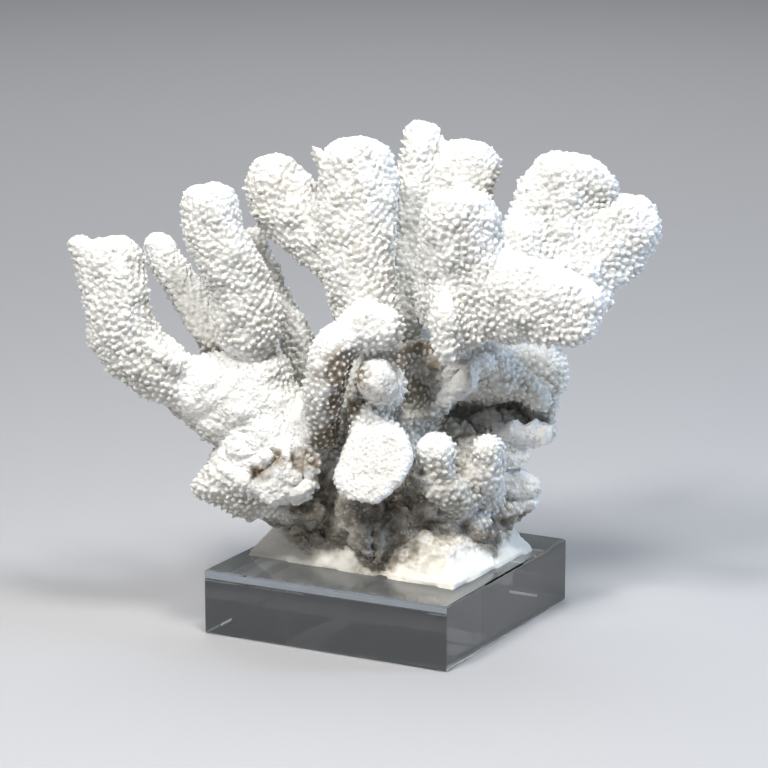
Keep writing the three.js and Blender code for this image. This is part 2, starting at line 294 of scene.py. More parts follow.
def solid_of(name):
    """Points and triangles of a CAD node."""
    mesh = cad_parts[name].data
    mesh.calc_loop_triangles()
    points = np.empty((len(mesh.vertices), 3), np.float32)
    mesh.vertices.foreach_get("co", points.ravel())
    triangles = np.empty((len(mesh.loop_triangles), 3), np.uint32)
    mesh.loop_triangles.foreach_get("vertices", triangles.ravel())
    points, where = np.unique(points.round(6), axis=0, return_inverse=True)
    return points, where.ravel()[triangles].astype(np.uint32)


class Field:
    """Signed distances to the object's solids on a regular grid, in metres."""

    def __init__(self, names):
        corners = np.array([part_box(name) for name in names])
        margin = BAND + 2
        self.low = np.floor(corners[:, 0].min(0) / VOXEL).astype(int) - margin
        self.high = np.ceil(corners[:, 1].max(0) / VOXEL).astype(int) + margin
        self.shape = tuple(self.high - self.low + 1)

    def of_solid(self, points, triangles):
        """Distances to one solid, over the part of the grid that it fills."""
        transform = openvdb.createLinearTransform(voxelSize=VOXEL)
        grid = openvdb.FloatGrid.createLevelSetFromPolygons(
            points, triangles=triangles, transform=transform, halfWidth=BAND
        )
        low = np.floor(points.min(0) / VOXEL).astype(int) - BAND
        high = np.ceil(points.max(0) / VOXEL).astype(int) + BAND
        values = np.empty(high - low + 1, np.float32)
        grid.copyToArray(values, ijk=tuple(int(v) for v in low))
        place = tuple(slice(a, b) for a, b in zip(low - self.low, high - self.low + 1))
        return values, place

    def surface(self, values):
        """The quads and points where values are zero."""
        grid = openvdb.FloatGrid(BAND * VOXEL)
        grid.transform = openvdb.createLinearTransform(voxelSize=VOXEL)
        grid.copyFromArray(values, ijk=tuple(int(v) for v in self.low))
        points, quads = grid.convertToQuads(isovalue=0.0)
        return points, quads

    def true_distances(self, values):
        """Distances to the outer surface where values are zero. Deep inside, values may be too small."""
        points, quads = without_pockets(*self.surface(values))
        triangles = np.concatenate([quads[:, [0, 1, 2]], quads[:, [0, 2, 3]]])
        inside, place = self.of_solid(points, triangles.astype(np.uint32))
        values = np.full(self.shape, BAND * VOXEL, np.float32)
        values[place] = inside
        return values

    def near(self, points, reach):
        """The part of the grid within reach of some points, and where its grid points are."""
        low = np.floor((points.min(0) - reach) / VOXEL).astype(int) - self.low
        high = np.ceil((points.max(0) + reach) / VOXEL).astype(int) - self.low
        low = np.clip(low, 0, self.shape)
        size = np.clip(high, 0, self.shape) - low
        place = tuple(slice(a, a + n) for a, n in zip(low, size))
        return place, (np.moveaxis(np.indices(size), 0, -1) + low + self.low) * VOXEL

    def sample(self, values, points):
        """Values at points, from the eight grid points round each."""
        place = points / VOXEL - self.low
        corner = np.floor(place).astype(int)
        share = place - corner
        result = np.zeros(len(points), np.float32)
        for step in np.ndindex(2, 2, 2):
            weight = np.prod(np.where(step, share, 1 - share), axis=1)
            at = corner + step
            result += weight * values[at[:, 0], at[:, 1], at[:, 2]]
        return result

    def nearest(self, values, points):
        """Values at the grid points nearest to points."""
        at = np.rint(points / VOXEL).astype(int) - self.low
        return values[at[:, 0], at[:, 1], at[:, 2]]


def blurred(values, width):
    """values after a Gaussian blur of this standard deviation, in metres."""
    deviation = width / VOXEL
    reach = int(math.ceil(3 * deviation))
    steps = np.arange(-reach, reach + 1)
    weights = np.exp(-0.5 * (steps / deviation) ** 2)
    weights /= weights.sum()
    for axis in range(3):
        padding = [(0, 0)] * 3
        padding[axis] = (reach, reach)
        padded = np.pad(values, padding, mode="edge")
        length = values.shape[axis]
        values = np.zeros_like(values)
        for i, weight in enumerate(weights):
            window = [slice(None)] * 3
            window[axis] = slice(i, i + length)
            values += np.float32(weight) * padded[tuple(window)]
    return values


def smooth_union(a, b, width):
    """The smaller of two distances, rounded where they are nearly equal."""
    share = np.clip(0.5 + 0.5 * (b - a) / width, 0, 1)
    return b * (1 - share) + a * share - width * share * (1 - share)


def strand(places, spine, radii):
    """Distances to a strand with round ends, whose radius changes along its spine."""
    closest = np.full(places.shape[:-1], np.inf)
    for start, end, first, last in zip(spine, spine[1:], radii, radii[1:]):
        way = end - start
        along = np.clip((places - start) @ way / (way @ way), 0, 1)
        away = np.linalg.norm(places - start - along[..., None] * way, axis=-1)
        closest = np.minimum(closest, away - first - (last - first) * along)
    return closest


def merged(values, distances, blend, carve):
    if carve:
        return -smooth_union(-values, distances, blend)
    return smooth_union(values, distances, blend)


def modelled(values, strands, blend, carve=False):
    """values with strands added, or carved away.
    Spines and radii are in millimetres, in the coral's frame."""
    values = values.copy()
    for spine, radii in strands:
        spine = np.array([spot(*point) for point in spine])
        radii = np.array(radii) / 1000
        place, places = field.near(spine, radii.max() + 3 * blend)
        values[place] = merged(values[place], strand(places, spine, radii), blend, carve)
    return values


def outline_distance(across, up, outline):
    """Distances in a plane to a closed outline, negative inside."""
    closest = np.full(across.shape, np.inf)
    inside = np.zeros(across.shape, bool)
    for (x0, y0), (x1, y1) in zip(outline, outline[1:] + outline[:1]):
        dx, dy = x1 - x0, y1 - y0
        along = np.clip(((across - x0) * dx + (up - y0) * dy) / (dx * dx + dy * dy), 0, 1)
        closest = np.minimum(closest, np.hypot(across - x0 - along * dx, up - y0 - along * dy))
        if dy:
            inside ^= ((y0 > up) != (y1 > up)) & (across < x0 + (up - y0) * dx / dy)
    return np.where(inside, -closest, closest)


def plated(values, plates, blend):
    """values with plates added: outlines across and up, the depth of the face at a height and its slope,
    thickness and rounding, all in millimetres in the coral's frame."""
    values = values.copy()
    for outline, (depth, height, slope), thickness, rounding in plates:
        corners = [spot(x, depth + slope * (z - height), z) for x, z in outline]
        place, places = field.near(np.array(corners), thickness / 1000 + 3 * blend)
        across, away, up = coral_frame(places)
        beside = outline_distance(across, up, outline) + rounding
        face = depth + slope * (up - height)
        beyond = np.abs(away - face - thickness / 2) - thickness / 2 + rounding
        outer = np.hypot(np.maximum(beside, 0), np.maximum(beyond, 0))
        distances = (outer + np.minimum(np.maximum(beside, beyond), 0) - rounding) / 1000
        values[place] = smooth_union(values[place], distances, blend)
    return values


def smoothstep(low, high, x):
    t = np.clip((x - low) / (high - low), 0, 1)
    return t * t * (3 - 2 * t)


def coral_field():
    """Distances to the coral as one grown body, and the number of the solid that owns each point."""
    joined = np.full(field.shape, BAND * VOXEL, np.float32)
    closest = joined.copy()
    owner = np.zeros(field.shape, np.int8)
    for number, name in enumerate(CORAL):
        values, place = field.of_solid(*solid_of(name))
        values -= SEAM / 2
        closer = values < closest[place]
        closest[place][closer] = values[closer]
        owner[place][closer] = number
        if name != "front_tongue":  # this one is modelled as a plate
            joined[place] = np.minimum(joined[place], values)
    return field.true_distances(joined) + SEAM / 2, owner


def mesh_object(name, points, quads, triangles):
    """A new smooth object with these points, quads and triangles."""
    mesh = bpy.data.meshes.new(name)
    mesh.vertices.add(len(points))
    mesh.vertices.foreach_set("co", points.astype(np.float32).ravel())
    corners = np.concatenate([quads.ravel(), triangles.ravel()])
    mesh.loops.add(len(corners))
    mesh.loops.foreach_set("vertex_index", corners.astype(np.int32))
    mesh.polygons.add(len(quads) + len(triangles))
    starts = np.concatenate([np.arange(0, quads.size, 4), np.arange(quads.size, len(corners), 3)])
    mesh.polygons.foreach_set("loop_start", starts.astype(np.int32))
    mesh.update(calc_edges=True)
    mesh.shade_smooth()
    piece = bpy.data.objects.new(name, mesh)
    bpy.context.scene.collection.objects.link(piece)
    return piece


def groups_of(count, links):
    """For each of count things, the lowest number in its connected group. links are pairs of neighbours."""
    group = np.arange(count)
    while True:
        lowest = np.minimum(group[links[:, 0]], group[links[:, 1]])
        before = group.copy()
        np.minimum.at(group, links[:, 0], lowest)
        np.minimum.at(group, links[:, 1], lowest)
        group = group[group]
        if np.array_equal(group, before):
            return group


def without_pockets(points, quads):
    """The skin without the small closed pockets inside it and the crumbs outside."""
    links = np.concatenate([quads[:, [0, 1]], quads[:, [1, 2]], quads[:, [2, 3]]])
    group = groups_of(len(points), links)
    kept = np.bincount(group)[group] > SMALLEST_SHELL
    number = np.cumsum(kept) - 1
    return points[kept], number[quads[kept[quads[:, 0]]]]


def pairs_of(quads):
    """The four edges of each quad, as pairs of points with the lower number first."""
    return np.sort(np.stack([quads, np.roll(quads, -1, axis=1)], axis=-1).reshape(-1, 2), axis=1)


def parted(points, quads):
    """Four quads in place of each, and their edges."""
    pairs = pairs_of(quads)
    keys = pairs[:, 0].astype(np.int64) * len(points) + pairs[:, 1]
    _, first, where = np.unique(keys, return_index=True, return_inverse=True)
    middle = len(points) + where.reshape(-1, 4)
    centre = len(points) + len(first) + np.arange(len(quads))
    centre = np.repeat(centre[:, None], 4, axis=1)
    fine = np.stack([quads, middle, centre, np.roll(middle, 1, axis=1)], axis=-1).reshape(-1, 4)
    points = np.concatenate([points, points[pairs[first]].mean(1), points[quads].mean(1)])
    return points, fine, np.unique(pairs_of(fine), axis=0)


def normals_of(points, quads):
    """Unit normals at the points."""
    across = np.cross(points[quads[:, 2]] - points[quads[:, 0]], points[quads[:, 3]] - points[quads[:, 1]])
    corners = quads.ravel()
    sums = [np.bincount(corners, np.repeat(across[:, axis], 4), len(points)) for axis in range(3)]
    normals = np.stack(sums, axis=1)
    return normals / np.linalg.norm(normals, axis=1, keepdims=True)


def neighbour_mean(values, edges):
    """For each point, the mean of the values at its neighbours."""
    ends = edges.ravel()
    others = edges[:, ::-1].ravel()
    sums = [np.bincount(ends, values[others, axis], len(values)) for axis in range(values.shape[1])]
    return np.stack(sums, axis=1) / np.bincount(ends, minlength=len(values))[:, None]


def settled(points, quads, edges, values):
    """The points evened out along the surface where values are zero."""
    for _ in range(3):
        points = (points + neighbour_mean(points, edges)) / 2
        points = points - normals_of(points, quads) * field.sample(values, points)[:, None]
    return points


class Noise:
    """Smooth random values between -1 and 1, the same on every run."""

    SIDE = 64

    def __init__(self, seed):
        self.table = np.random.default_rng(seed).uniform(-1, 1, (self.SIDE,) * 3)

    def __call__(self, points, size):
        place = points / size
        corner = np.floor(place).astype(int)
        share = place - corner
        share = share * share * (3 - 2 * share)
        result = np.zeros(len(points))
        for step in np.ndindex(2, 2, 2):
            at = (corner + step) % self.SIDE
            weight = np.prod(np.where(step, share, 1 - share), axis=1)
            result += weight * self.table[at[:, 0], at[:, 1], at[:, 2]]
        return result

    def rough(self, points, size, octaves):
        """Several sizes of noise, each half the one before in size and height."""
        return sum(self(points, size / 2**i) / 2**i for i in range(octaves))

    def sharp(self, points, size, octaves):
        """The same with sharp crests and round hollows between them."""
        return sum((0.7 - 2 * abs(self(points, size / 2**i))) / 2**i for i in range(octaves))


def tree_of(points):
    tree = kdtree.KDTree(len(points))
    for number, point in enumerate(points):
        tree.insert(point, number)
    tree.balance()
    return tree


def scattered(points, spacing, rng):
    """Numbers of points that lie about their spacing apart."""
    tree = tree_of(points)
    free = spacing > 0
    chosen = []
    for number in rng.permutation(np.flatnonzero(free)):
        if free[number]:
            chosen.append(number)
            for _, near, _ in tree.find_range(points[number], KNOB_PACKING * spacing[number]):
                free[near] = False
    return np.array(chosen)


def nearest_of(points, centres, wanted):
    """The nearest centre to each wanted point, and how far it is."""
    tree = tree_of(centres)
    owner = np.zeros(len(points), int)
    distance = np.full(len(points), np.inf)
    for number in wanted:
        _, owner[number], distance[number] = tree.find(points[number])
    return owner, distance


def mean_by(owner, wanted, values, count):
    """For each of count centres, the mean of the values at the wanted points that it owns."""
    sizes = np.maximum(np.bincount(owner[wanted], minlength=count), 1)
    sums = [np.bincount(owner[wanted], values[wanted, axis], count) for axis in range(values.shape[1])]
    return np.stack(sums, axis=1) / sizes[:, None]


def evened(points, centres, wanted):
    """The centres moved to the middle of the points that are nearest to each."""
    owner, _ = nearest_of(points, centres, wanted)
    return mean_by(owner, wanted, points, len(centres))


def unit(vectors):
    return vectors / np.maximum(np.linalg.norm(vectors, axis=1, keepdims=True), 1e-9)


def clear_of(points, moves, body):
    """The moves, shortened where they would run into another part of the body."""
    share = np.ones(len(points))
    length = np.linalg.norm(moves, axis=1)
    for part in (0.4, 0.7, 1.0):
        gained = field.sample(body, points + part * moves)
        blocked = gained < FREE_GAIN * part * length - TOUCH
        share = np.where(blocked, np.minimum(share, part - 0.3), share)
    return moves * share[:, None]


def knobbed(points, normals, height, spacing, body):
    """The points with knobs raised on them, and how far down between the knobs each point lies, 0 to 1."""
    rng = np.random.default_rng(SEED)
    wanted = np.flatnonzero(height > 0)
    uneven = rng.uniform(*SPACING_SHARES, len(points))
    centres = points[scattered(points, np.where(height > 0, spacing * uneven, 0), rng)]
    centres = evened(points, centres, wanted)
    owner, _ = nearest_of(points, centres, wanted)
    facts = np.column_stack([normals, height, spacing])
    facts = mean_by(owner, wanted, facts, len(centres))
    out = unit(facts[:, :3])
    away = centres - ROOT
    away = unit(away - out * (away * out).sum(1, keepdims=True))
    lean = KNOB_LEAN * rng.uniform(*LEAN_SHARES, (len(centres), 1))
    direction = unit(out + lean * away)
    tallness = rng.uniform(*HEIGHT_SHARES, len(centres))
    radius = KNOB_WIDTH / 2 * facts[:, 4] * rng.uniform(*WIDTH_SHARES, len(centres))
    stretch = unit(rng.normal(size=(len(centres), 3)))
    offset = points - centres[owner]
    along = (offset * stretch[owner]).sum(1, keepdims=True) * stretch[owner]
    distance = np.linalg.norm(offset - 0.3 * along, axis=1)
    peaks, _ = nearest_of(centres, points, range(len(centres)))
    points = points.copy()
    points[peaks] = centres
    distance[peaks] = 0
    rise = np.clip(1 - (distance / radius[owner]) ** 1.6, 0, 1) ** KNOB_SHARPNESS
    rise = np.where(height > 0, rise, 0)
    moves = direction[owner] * (height * tallness[owner] * rise)[:, None]
    valley = (1 - rise) * np.clip(height / KNOB_HEIGHT, 0, 1)
    return points + clear_of(points, moves, body), valley


def owners_of(points, quads, owner, coral, plaster):
    """The number of the solid that each quad stands for. The last number is the plinth's."""
    middles = points[quads].mean(1)
    on_plinth = field.sample(plaster, middles) < field.sample(coral, middles)
    return np.where(on_plinth, len(CORAL), field.nearest(owner, middles))


def links_of(quads):
    """Pairs of quads that share an edge."""
    pairs = pairs_of(quads)
    keys = pairs[:, 0].astype(np.int64) * (int(quads.max()) + 1) + pairs[:, 1]
    order = np.argsort(keys, kind="stable")
    face = order // 4
    same = keys[order[1:]] == keys[order[:-1]]
    return np.stack([face[:-1][same], face[1:][same]], axis=1)


def without_islands(owners, links, smallest):
    """The owners, with each patch of fewer quads than smallest given to a larger patch beside it."""
    while True:
        same = owners[links[:, 0]] == owners[links[:, 1]]
        patch = groups_of(len(owners), links[same])
        size = np.bincount(patch, minlength=len(owners))[patch]
        border = np.concatenate([links[~same], links[~same][:, ::-1]])
        given = border[(size[border[:, 0]] < smallest) & (size[border[:, 1]] >= smallest)]
        if not len(given):
            return owners
        taker = np.full(len(owners), -1)
        taker[patch[given[:, 0]]] = owners[given[:, 1]]
        owners = np.where(taker[patch] >= 0, taker[patch], owners)


def caps_of(points, normals, quads, body):
    """Points inside the body, and the triangles from them that close the holes in a piece of skin.
    A hole stays open where no such point sees its whole rim from inside the body."""
    starts = quads.ravel()
    ends = np.roll(quads, -1, axis=1).ravel()
    size = len(points)
    lonely = ~np.isin(starts.astype(np.int64) * size + ends, ends.astype(np.int64) * size + starts)
    starts, ends = starts[lonely], ends[lonely]
    group = groups_of(size, np.stack([starts, ends], axis=1))
    middles, triangles = [], []
    for rim in np.unique(group[starts]):
        here = group[starts] == rim
        edge = points[starts[here]]
        inward = -normals[starts[here]].mean(0)
        reach = np.linalg.norm(edge - edge.mean(0), axis=1).mean()
        for depth in (0.0, 0.4, 0.8, 1.2):
            middle = edge.mean(0) + inward * reach * depth
            between = np.concatenate([middle + (edge - middle) * share for share in (0.0, 0.35, 0.7, 0.9)])
            if field.sample(body, between).max() < 0:
                apex = np.full(here.sum(), size + len(middles))
                triangles.append(np.stack([ends[here], starts[here], apex], axis=1))
                middles.append(middle)
                break
    return np.array(middles).reshape(-1, 3), np.concatenate([np.zeros((0, 3), int), *triangles])


def piece_of(name, quads, points, normals, facts, body):
    """One closed piece of the skin, shaded as a part of the whole."""
    kept, corners = np.unique(quads, return_inverse=True)
    quads = corners.reshape(-1, 4)
    middles, triangles = caps_of(points[kept], normals[kept], quads, body)
    piece = mesh_object(name, np.concatenate([points[kept], middles]), quads, triangles)
    inside = np.zeros(len(middles))
    for fact, values in facts.items():
        attribute = piece.data.attributes.new(fact, "FLOAT", "POINT")
        attribute.data.foreach_set("value", np.concatenate([values[kept], inside]).astype(np.float32))
    shading = np.concatenate([normals[kept], np.tile([0.0, 0.0, 1.0], (len(middles), 1))])
    piece.data.normals_split_custom_set_from_vertices(shading)
    return piece


def lumps():
    """Gentle unevenness all over the grid, between -1 and 1."""
    places = (np.moveaxis(np.indices(field.shape), 0, -1) + field.low) * VOXEL
    return noise(places.reshape(-1, 3), LUMP_SIZE).reshape(field.shape).astype(np.float32)


def rock_share(points):
    """1 on the bare rock that the coral grew on, 0 on the coral."""
    ragged = 0.006 * noise.rough(points, 0.02, 2)
    return 1 - smoothstep(ROCK_TOP - 0.004, ROCK_TOP + 0.004, points[:, 2] + ragged)


def near_places(points, places):
    """For each point, the largest share of the places (place, radius, share) that it lies in."""
    result = np.zeros(len(points))
    for place, radius, share in places:
        ragged = 1 + 0.25 * noise(points, 0.006)
        inside = 1 - smoothstep(0.6, 1, np.linalg.norm(points - place, axis=1) / radius * ragged)
        result = np.maximum(result, share * inside)
    return result


def knob_height(points, normals, bulge, rock):
    """How high the knobs stand at each point, and how far apart."""
    tip = smoothstep(0.35, 0.85, normals[:, 2]) * smoothstep(0.0005, 0.003, bulge)
    tip = tip * smoothstep(TIPS, TIPS + 0.01, points[:, 2])
    patchy = 0.85 + 0.25 * noise(points, 0.02)
    height = KNOB_HEIGHT * patchy * (1 - 0.75 * tip) * (1 - rock)
    spacing = KNOB_SPACING * (1 - 0.3 * tip)
    for place, radius, height_left, spacing_left in WORN:
        near = 1 - smoothstep(0.7, 1, np.linalg.norm(points - place, axis=1) / radius)
        height *= 1 - near * (1 - height_left)
        spacing *= 1 - near * (1 - spacing_left)
    return np.where(height < 0.12 * KNOB_HEIGHT, 0, height), spacing


def coral_form(joined):
    """The coral's distances, grown smooth, with the small forms modelled on it."""
    coral = blurred(joined, SMOOTHING) + SHRINKAGE + LUMP_HEIGHT * lumps()
    coral = modelled(coral, MASSES, SOFT)
    coral = modelled(coral, HOLLOWS, CRISP, carve=True)
    coral = modelled(coral, RIDGES, CRISP)
    return plated(coral, PLATES, PLATE_BLEND)


def plaster_form():
    """The plinth's distances, with plaster drawn up over the rock."""
    values, place = field.of_solid(*solid_of("plinth"))
    plaster = np.full(field.shape, BAND * VOXEL, np.float32)
    plaster[place] = values
    return modelled(plaster, MOUNDS, SOFT)


def skin_of(body):
    """The body's surface: points and fine quads."""
    points, quads = without_pockets(*field.surface(body))
    points, quads, edges = parted(points, quads)
    return settled(points, quads, edges, body), quads


def relief_of(points, rock, worn, stained, free):
    """How far the skin stands out beside its knobs: rock, crumbled places, chalk and grain."""
    boulders = noise.rough(points, 0.008, 2) + 0.5 * noise.sharp(points, 0.006, 3) - 0.3
    rugged = ROCK_RELIEF * rock * free * boulders
    crumbled = CRUMBLE_RELIEF * near_places(points, CRUMBLED) * free * noise.sharp(points, 0.009, 3)
    chalky = SWELLING * KNOB_HEIGHT + CHALK_RELIEF * noise.rough(points, 0.005, 3)
    grainy = GRAIN * noise.rough(points, 0.002, 2)
    grainy += STAIN_RELIEF * stained * noise.sharp(points, 0.006, 3)
    return rugged + crumbled + worn * (1 - rock) * chalky + grainy


def raised(points, normals, relief, body):
    """The points moved out or in. Moves out stop short of other parts of the body."""
    out = clear_of(points, normals * np.maximum(relief, 0)[:, None], body)
    return points + out + normals * np.minimum(relief, 0)[:, None]


def painted_light_on_tops(points, normals):
    """Painted light: 1 where the coral's upper parts face the light from above and are painted whiter, 0
    where they don't.
    """
    across, _, up = coral_frame(points)
    lit = smoothstep(110, 170, up) * smoothstep(-0.25, 0.3, normals @ PAINTED_LIGHT_FROM)
    return lit * (0.7 + 0.3 * smoothstep(-75, -45, across))


field = Field((*CORAL, "plinth"))
noise = Noise(SEED)
joined, owner = coral_field()
coral = coral_form(joined)
plaster = plaster_form()
body = smooth_union(coral, plaster, PLASTER_FILLET)
points, quads = skin_of(body)
normals = normals_of(points, quads)

# What the skin is like at each point
to_coral = field.sample(coral, points)
to_plaster = field.sample(plaster, points)
on_plaster = to_plaster < to_coral + 0.001
bulge = field.sample(blurred(np.minimum(coral, plaster), OPENNESS_REACH), points)
rock = np.maximum(rock_share(points), near_places(points, BARE)) * (to_plaster > 0.0005)
foot = 1 - smoothstep(0.0015, 0.012, to_coral + 0.005 * noise.rough(points, 0.009, 4))
# dirt, and painted shade in some of the listed places; and stains round the coral's foot
dirt_and_painted_shade = np.maximum(near_places(points, DIRT_AND_PAINTED_SHADE), foot * (to_plaster < 0.0015))
height, spacing = knob_height(points, normals, bulge, rock)
height = np.where(on_plaster, 0, height)
worn = np.where(on_plaster, 0, 1 - np.clip(height / KNOB_HEIGHT, 0, 1))
face_owner = owners_of(points, quads, owner, coral, plaster)
face_owner = without_islands(face_owner, links_of(quads), SMALLEST_PATCH)

# Knobs, relief and the plinth's seat on the block
points, valley = knobbed(points, normals, height, spacing, body)
stained = on_plaster * np.maximum(foot, dirt_and_painted_shade)
free = smoothstep(0.001, 0.006, field.sample(plaster, points))
points = raised(points, normals, relief_of(points, rock, worn, stained, free), body)
points[:, 2] -= SUNK * (points[:, 2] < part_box("block")[1][2] + SUNK)
points = np.clip(points, cad_box[0], cad_box[1])
normals = normals_of(points, quads)

facts = {
    # how far down between the knobs; the material paints ochre tint and painted shade there
    "valley": valley,
    # painted shade: darker in hollows, and more on faces that look down
    "sheltered_painted_shade": (1 - smoothstep(-0.008, 0.003, bulge)) * (0.75 - 0.25 * normals[:, 2]),
    "rock": rock,
    "dirt_and_painted_shade": dirt_and_painted_shade,
    "worn": worn,
    # painted light: upper parts that face the light are painted whiter
    "painted_light": painted_light_on_tops(points, normals),
}
pieces = {}
for number, name in enumerate([*CORAL, "plinth"]):
    piece = piece_of(name + "_skin", quads[face_owner == number], points, normals, facts, body)
    pieces[name] = piece
    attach(piece, "root")
    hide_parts(name)


# Colours: a pair is two shades of one material
CORAL_SHADES = ((0.80, 0.79, 0.75), (0.86, 0.86, 0.85))
# painted light: the white of the tops that face the light
PAINTED_LIGHT_WHITE = (0.86, 0.86, 0.845)
# ochre tint and painted shade between the knobs
OCHRE_AND_PAINTED_SHADE = (0.37, 0.345, 0.275)
# painted shade in hollows and under overhangs
PAINTED_SHADE = (0.24, 0.22, 0.17)
PALE_GREY = (0.42, 0.40, 0.36)
# the colour of dirt, also used as painted shade
DUST_AND_PAINTED_SHADE = ((0.15, 0.13, 0.08), (0.19, 0.12, 0.055))
# rock colour, darkened with painted shade
STONE_AND_PAINTED_SHADE = ((0.16, 0.14, 0.11), (0.33, 0.305, 0.265))
PLASTER_SHADES = ((0.92, 0.895, 0.83), (0.85, 0.81, 0.72))
STAIN = (0.30, 0.26, 0.19)
ACRYLIC = (0.93, 0.95, 0.94, 1)
ACRYLIC_IOR = 1.49
FLOOR_SHADES = ((0.42, 0.42, 0.43), (0.44, 0.44, 0.45))


class Nodes:
    """A material's nodes, added and linked one after another."""

    def __init__(self, name):
        self.material = bpy.data.materials.new(name)
        self.material.use_nodes = True
        self.tree = self.material.node_tree
        self.shader = self.tree.nodes["Principled BSDF"]

    def put(self, value, socket):
        """Sets a socket to a constant, or links another socket to it."""
        if isinstance(value, bpy.types.NodeSocket):
            self.tree.links.new(value, socket)
        else:
            socket.default_value = value

    def add(self, kind, settings=None, **inputs):
        node = self.tree.nodes.new("ShaderNode" + kind)
        for key, value in (settings or {}).items():
            setattr(node, key, value)
        for key, value in inputs.items():
            self.put(value, node.inputs[key])
        return node

    def place(self):
        return self.add("TexCoord").outputs["Object"]

    def fact(self, name):
        return self.add("Attribute", {"attribute_name": name}).outputs["Fac"]

    def noise(self, size, detail=2.0):
        """Noise between 0 and 1 whose features are about size apart, in metres."""
        node = self.add("TexNoise", Vector=self.place(), Scale=1 / size, Detail=detail)
        return node.outputs["Fac"]

    def cells(self, size):
        node = self.add("TexVoronoi", Vector=self.place(), Scale=1 / size)
        return node.outputs["Distance"]

    def between(self, value, low, high, start=0.0, end=1.0):
        """value from low to high, turned into start to end."""
        node = self.add("MapRange", {"interpolation_type": "SMOOTHSTEP"}, Value=value)
        for key, number in zip(("From Min", "From Max", "To Min", "To Max"), (low, high, start, end)):
            self.put(number, node.inputs[key])
        return node.outputs["Result"]

    def times(self, a, b):
        node = self.add("Math", {"operation": "MULTIPLY"})
        self.put(a, node.inputs[0])
        self.put(b, node.inputs[1])
        return node.outputs[0]

    def mix(self, share, a, b):
        """Colour a where share is 0, and b where it is 1."""
        node = self.add("Mix", {"data_type": "RGBA"})
        self.put(share, node.inputs[0])
        for colour, socket in ((a, node.inputs[6]), (b, node.inputs[7])):
            self.put((*colour, 1) if isinstance(colour, tuple) else colour, socket)
        return node.outputs[2]

    def bump(self, height, distance, strength=1.0, below=None):
        node = self.add("Bump", Height=height, Distance=distance, Strength=strength)
        if below is not None:
            self.put(below, node.inputs["Normal"])
        return node.outputs["Normal"]


def coral_material():
    """Bleached coral: white knobs with painted light on the tops that face the light, ochre tint and
    painted shade between the knobs, painted shade in hollows and under overhangs, and dark rock at the
    foot, darkened with painted shade. Dirt is brown, and in a few places it is painted shade.
    """
    n = Nodes("coral")
    colour = n.mix(n.between(n.noise(0.03), 0.35, 0.65), *CORAL_SHADES)
    # painted light: tops that face the light are painted whiter
    colour = n.mix(n.fact("painted_light"), colour, PAINTED_LIGHT_WHITE)
    # ochre tint and painted shade between the knobs, fainter where painted light falls
    gap_ochre_and_shade = n.times(n.between(n.fact("valley"), 0.15, 0.75), n.between(n.noise(0.014), 0.3, 0.7, 0.35, 0.85))
    gap_ochre_and_shade = n.times(gap_ochre_and_shade, n.between(n.fact("painted_light"), 0.0, 1.0, 1.0, 0.62))
    colour = n.mix(gap_ochre_and_shade, colour, OCHRE_AND_PAINTED_SHADE)
    patchy = n.between(n.noise(0.012, 3), 0.38, 0.6, 0.15, 0.9)
    specks = n.times(n.between(n.noise(0.0026, 3), 0.43, 0.34), patchy)
    colour = n.mix(n.times(specks, n.fact("worn")), colour, PALE_GREY)
    # painted shade in hollows and on faces that look down
    colour = n.mix(n.between(n.fact("sheltered_painted_shade"), 0.35, 0.95, 0.0, 0.62), colour, PAINTED_SHADE)
    # dirt, and painted shade in some listed places, more of it between the knobs
    dust_and_painted_shade = n.mix(n.between(n.noise(0.007, 3), 0.4, 0.6), *DUST_AND_PAINTED_SHADE)
    hidden = n.between(n.fact("valley"), 0.15, 0.5, 0.25, 1.0)
    exposed = n.between(n.fact("worn"), 0.5, 1.0)
    colour = n.mix(n.times(n.fact("dirt_and_painted_shade"), hidden), colour, dust_and_painted_shade)
    smeared = n.times(n.times(n.fact("dirt_and_painted_shade"), exposed), n.between(n.noise(0.006, 3), 0.3, 0.55))
    colour = n.mix(smeared, colour, dust_and_painted_shade)
    # rock at the foot: its own grey-brown, darkened with painted shade
    stone_and_painted_shade = n.mix(n.between(n.noise(0.010, 5), 0.35, 0.65), *STONE_AND_PAINTED_SHADE)
    stone_and_painted_shade = n.mix(n.between(n.noise(0.003, 5), 0.55, 0.68), stone_and_painted_shade, PALE_GREY)
    bare = n.times(n.fact("rock"), n.between(n.noise(0.006, 4), 0.3, 0.45, 0.7, 1.0))
    colour = n.mix(bare, colour, stone_and_painted_shade)
    n.put(colour, n.shader.inputs["Base Color"])
    n.put(n.between(n.noise(0.002), 0.3, 0.7, 0.75, 0.95), n.shader.inputs["Roughness"])
    grain = n.bump(n.noise(0.0008, 3), 0.0004)
    n.put(n.bump(n.cells(0.0019), 0.0006, below=grain), n.shader.inputs["Normal"])
    return n.material


def plaster_material():
    """Cream plaster, with faint stains and a fine grain."""
    n = Nodes("plaster")
    colour = n.mix(n.between(n.noise(0.02, 4), 0.35, 0.7), *PLASTER_SHADES)
    patchy = n.between(n.noise(0.006, 4), 0.35, 0.6, 0.35, 1.0)
    stain = n.times(n.between(n.fact("dirt_and_painted_shade"), 0.0, 1.0, 0.0, 0.85), patchy)
    colour = n.mix(stain, colour, STAIN)
    n.put(colour, n.shader.inputs["Base Color"])
    n.put(n.between(n.noise(0.003), 0.3, 0.7, 0.7, 0.95), n.shader.inputs["Roughness"])
    grain = n.bump(n.noise(0.0009, 4), 0.0003)
    n.put(n.bump(n.noise(0.007, 2), 0.0006, below=grain), n.shader.inputs["Normal"])
    return n.material


